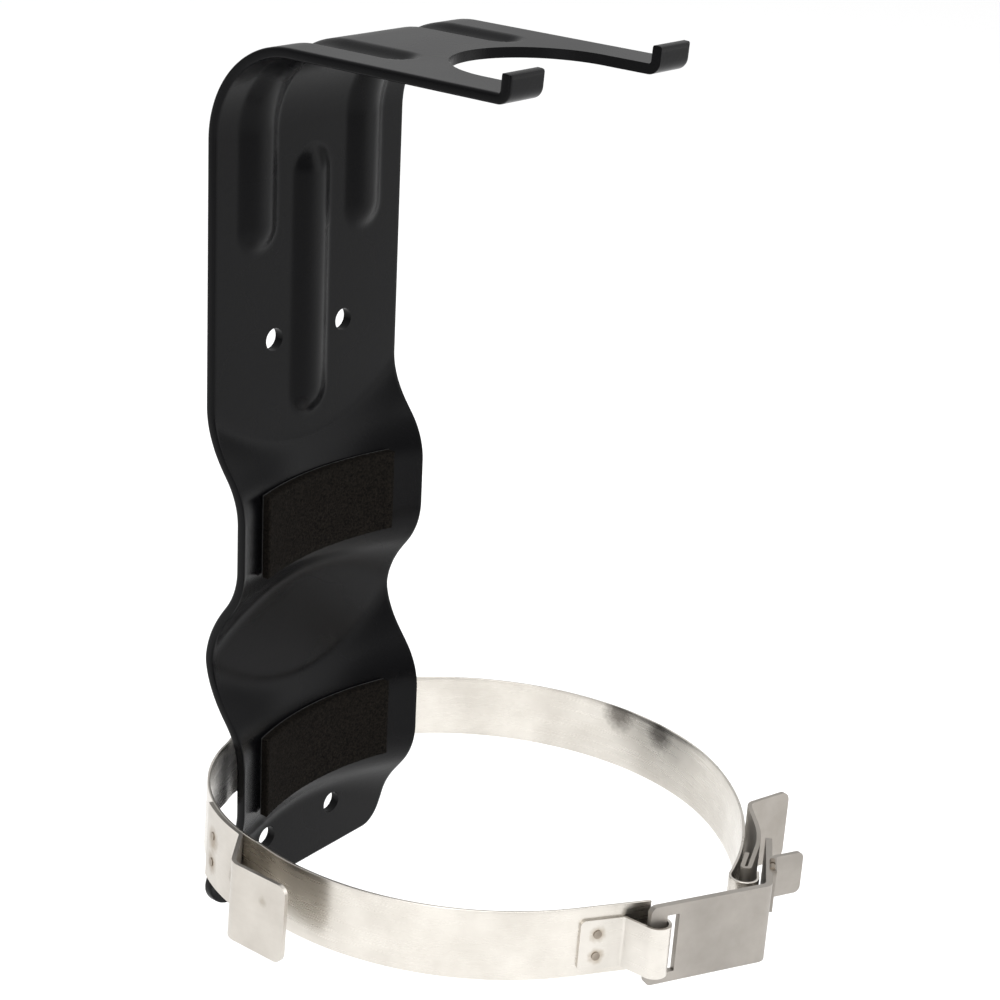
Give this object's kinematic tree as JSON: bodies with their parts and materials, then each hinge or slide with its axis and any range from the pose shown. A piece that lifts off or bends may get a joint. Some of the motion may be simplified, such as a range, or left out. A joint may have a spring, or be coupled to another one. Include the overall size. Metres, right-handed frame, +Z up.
{
  "type": "breathing-apparatus cylinder wall bracket",
  "caption": "Wall bracket for a compressed-air cylinder: black stamped plate with a forked top arm and foam-padded saddles, and a steel band closed by a hooked quick-release catch.",
  "frame": {"origin": "centre of the four wall holes, on the wall plane", "axes": "+X right when facing the bracket, +Y into the wall, +Z up along the plate"},
  "size_m": [0.168, 0.172, 0.2788],
  "materials": {
    "plate_coating": "satin black powder coat",
    "foam": "open-cell matte foam rubber",
    "adhesive": "matte film",
    "band_steel": "satin stainless strip",
    "strap_steel": "satin stainless strip",
    "hook_steel": "matte as-rolled stainless",
    "lever_steel": "matte as-rolled stainless",
    "finger_tab_steel": "matte as-rolled stainless",
    "weld_steel": "heat-tinted weld"
  },
  "bodies": {
    "bracket": {"back_plate": "plate_coating", "upper_pad_adhesive": "adhesive", "upper_foam_pad": "foam", "lower_pad_adhesive": "adhesive", "lower_foam_pad": "foam"},
    "rear_band": {"band_rear": "band_steel"},
    "left_band": {"band_left_arm": "band_steel", "finger_tab": "finger_tab_steel", "finger_tab_spot_welds": "weld_steel", "catch_loop_strap": "strap_steel", "strap_spot_welds": "weld_steel"},
    "right_band": {"band_right_arm": "band_steel"},
    "hook": {"hook_plate": "hook_steel", "pull_tab": "hook_steel", "pull_tab_weld_beads": "weld_steel"},
    "lever": {"release_lever": "lever_steel"}
  },
  "joints": [
    {"name": "band_rock", "type": "hinge", "parent": "bracket", "child": "rear_band", "pos_m": [0, -0.0021, -0.0528], "axis": [0, 1, 0], "range_deg": [-4.5, 0]},
    {"name": "left_band_flex", "type": "hinge", "parent": "rear_band", "child": "left_band", "pos_m": [-0.04107, -0.00815, -0.0498], "axis": [0.0715, 0.0105, 0.9974], "range_deg": [-4.5, 0.2]},
    {"name": "right_band_flex", "type": "hinge", "parent": "rear_band", "child": "right_band", "pos_m": [0.04085, -0.00885, -0.05567], "axis": [0.0715, 0.0105, 0.9974], "range_deg": [-0.2, 4.5]},
    {"name": "hook_swing", "type": "hinge", "parent": "left_band", "child": "hook", "pos_m": [-0.02497, -0.1567, -0.0494], "axis": [0.0715, 0.0105, 0.9974], "range_deg": [-75, 0]},
    {"name": "lever_swing", "type": "hinge", "parent": "right_band", "child": "lever", "pos_m": [0.01203, -0.16109, -0.052], "axis": [0.0715, 0.0105, 0.9974], "range_deg": [-30.5, 0.2]}
  ],
  "couplings": [
    {"joint": "left_band_flex", "follows": "hook_swing", "ratio": 0.055},
    {"joint": "right_band_flex", "follows": "hook_swing", "ratio": -0.055},
    {"joint": "lever_swing", "follows": "hook_swing", "ratio": 0.4}
  ]
}
